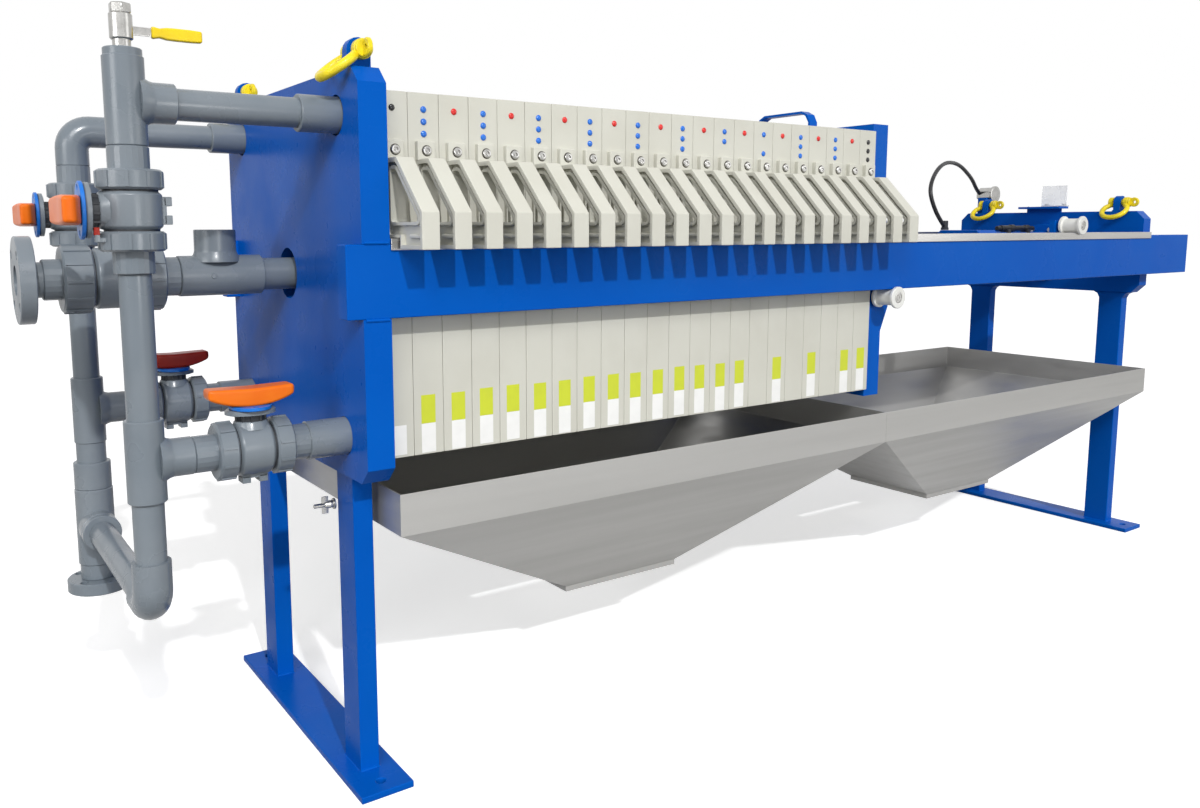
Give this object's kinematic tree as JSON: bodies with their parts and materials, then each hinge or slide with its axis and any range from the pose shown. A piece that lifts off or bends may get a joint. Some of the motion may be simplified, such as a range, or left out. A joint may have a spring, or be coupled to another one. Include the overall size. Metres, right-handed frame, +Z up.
{
  "type": "plate filter press",
  "caption": "Filter press: recessed plates on side beams, squeezed by a hydraulic follower, with drip trays, stands, feed and filtrate pipework, valves and lifting shackles.",
  "frame": {"origin": "on the floor, under the middle of the head end's foot plate", "axes": "+X along the press from the fixed head to the hydraulic end, +Y across it, away from the operator's side, +Z up"},
  "size_m": [3.374, 0.906, 1.3303],
  "materials": {
    "blue_paint": "gloss blue enamel",
    "polypropylene": "off-white moulded polypropylene",
    "stainless": "brushed stainless sheet",
    "grey_pvc": "grey moulded pipe plastic",
    "yellow_paint": "yellow powder coat on forged steel",
    "orange_plastic": "orange moulded plastic",
    "red_plastic": "dark red moulded plastic",
    "yellow_sleeve": "dipped yellow vinyl over steel",
    "white_nylon": "turned white nylon",
    "black_rubber": "black hydraulic hose",
    "chrome_steel": "chromed piston rod"
  },
  "bodies": {
    "frame": {"air_valve": "stainless", "far_drain_valve": "grey_pvc", "far_lower_run": "grey_pvc", "far_rail": "stainless", "far_riser_valve": "grey_pvc", "far_side_beam": "blue_paint", "far_upper_run": "grey_pvc", "feed_run": "grey_pvc", "feed_valve": "grey_pvc", "filter_plate_01": "polypropylene", "filter_plate_02": "polypropylene", "filter_plate_03": "polypropylene", "filter_plate_04": "polypropylene", "filter_plate_05": "polypropylene", "filter_plate_06": "polypropylene", "filter_plate_07": "polypropylene", "filter_plate_08": "polypropylene", "filter_plate_09": "polypropylene", "filter_plate_10": "polypropylene", "filter_plate_11": "polypropylene", "filter_plate_12": "polypropylene", "filter_plate_13": "polypropylene", "filter_plate_14": "polypropylene", "filter_plate_15": "polypropylene", "filter_plate_16": "polypropylene", "filter_plate_17": "polypropylene", "filter_plate_18": "polypropylene", "filter_plate_19": "polypropylene", "filter_plate_20": "polypropylene", "filter_plate_21": "polypropylene", "filter_plate_22": "polypropylene", "head_drip_tray": "stainless", "head_plate": "blue_paint", "head_stand": "blue_paint", "hydraulic_cylinder": "blue_paint", "hydraulic_hose": "black_rubber", "near_drain_valve": "grey_pvc", "near_lower_run": "grey_pvc", "near_rail": "stainless", "near_riser_valve": "grey_pvc", "near_side_beam": "blue_paint", "near_upper_run": "grey_pvc", "tail_drip_tray": "stainless", "tail_plate": "blue_paint", "tail_stand": "blue_paint"},
    "follower": {"follower": "blue_paint", "piston_rod": "chrome_steel"},
    "near_front_roller": {"near_front_roller": "white_nylon"},
    "near_rear_roller": {"near_rear_roller": "white_nylon"},
    "near_riser_handle": {"near_riser_handle": "orange_plastic"},
    "near_drain_handle": {"near_drain_handle": "orange_plastic"},
    "near_head_shackle": {"near_head_shackle": "yellow_paint"},
    "near_tail_shackle": {"near_tail_shackle": "yellow_paint"},
    "far_front_roller": {"far_front_roller": "white_nylon"},
    "far_rear_roller": {"far_rear_roller": "white_nylon"},
    "far_riser_handle": {"far_riser_handle": "orange_plastic"},
    "far_drain_handle": {"far_drain_handle": "red_plastic"},
    "far_head_shackle": {"far_head_shackle": "yellow_paint"},
    "far_tail_shackle": {"far_tail_shackle": "yellow_paint"},
    "air_lever": {"air_lever": "yellow_sleeve"}
  },
  "joints": [
    {"name": "follower_slide", "type": "slide", "parent": "frame", "child": "follower", "axis": [1, 0, 0], "range_m": [0, 0.42]},
    {"name": "near_front_roller_spin", "type": "hinge", "parent": "follower", "child": "near_front_roller", "pos_m": [1.352, -0.344, 0.8317], "axis": [0, 1, 0], "continuous": true},
    {"name": "near_rear_roller_spin", "type": "hinge", "parent": "follower", "child": "near_rear_roller", "pos_m": [2.1897, -0.344, 1.0053], "axis": [0, 1, 0], "continuous": true},
    {"name": "far_front_roller_spin", "type": "hinge", "parent": "follower", "child": "far_front_roller", "pos_m": [1.352, 0.344, 0.8317], "axis": [0, 1, 0], "continuous": true},
    {"name": "far_rear_roller_spin", "type": "hinge", "parent": "follower", "child": "far_rear_roller", "pos_m": [2.1897, 0.344, 1.0053], "axis": [0, 1, 0], "continuous": true},
    {"name": "near_riser_turn", "type": "hinge", "parent": "frame", "child": "near_riser_handle", "pos_m": [-0.4223, -0.265, 1.0287], "axis": [1, 0, 0], "range_deg": [0, 90]},
    {"name": "near_drain_turn", "type": "hinge", "parent": "frame", "child": "near_drain_handle", "pos_m": [-0.1907, -0.265, 0.7088], "axis": [0, 0, 1], "range_deg": [0, 90]},
    {"name": "far_riser_turn", "type": "hinge", "parent": "frame", "child": "far_riser_handle", "pos_m": [-0.4223, 0.265, 1.0287], "axis": [1, 0, 0], "range_deg": [0, 90]},
    {"name": "far_drain_turn", "type": "hinge", "parent": "frame", "child": "far_drain_handle", "pos_m": [-0.1907, 0.265, 0.7088], "axis": [0, 0, 1], "range_deg": [0, 90]},
    {"name": "air_lever_turn", "type": "hinge", "parent": "frame", "child": "air_lever", "pos_m": [-0.356, -0.243, 1.2973], "axis": [0, -1, 0], "range_deg": [0, 90]},
    {"name": "near_head_shackle_swing", "type": "hinge", "parent": "frame", "child": "near_head_shackle", "pos_m": [-0.003, -0.302, 1.291], "axis": [0, 1, 0], "range_deg": [0, 120]},
    {"name": "near_tail_shackle_swing", "type": "hinge", "parent": "frame", "child": "near_tail_shackle", "pos_m": [2.6822, -0.232, 1.081], "axis": [0, 1, 0], "range_deg": [0, 120]},
    {"name": "far_head_shackle_swing", "type": "hinge", "parent": "frame", "child": "far_head_shackle", "pos_m": [-0.003, 0.302, 1.291], "axis": [0, 1, 0], "range_deg": [0, 120]},
    {"name": "far_tail_shackle_swing", "type": "hinge", "parent": "frame", "child": "far_tail_shackle", "pos_m": [2.6822, 0.232, 1.081], "axis": [0, 1, 0], "range_deg": [0, 70]}
  ]
}
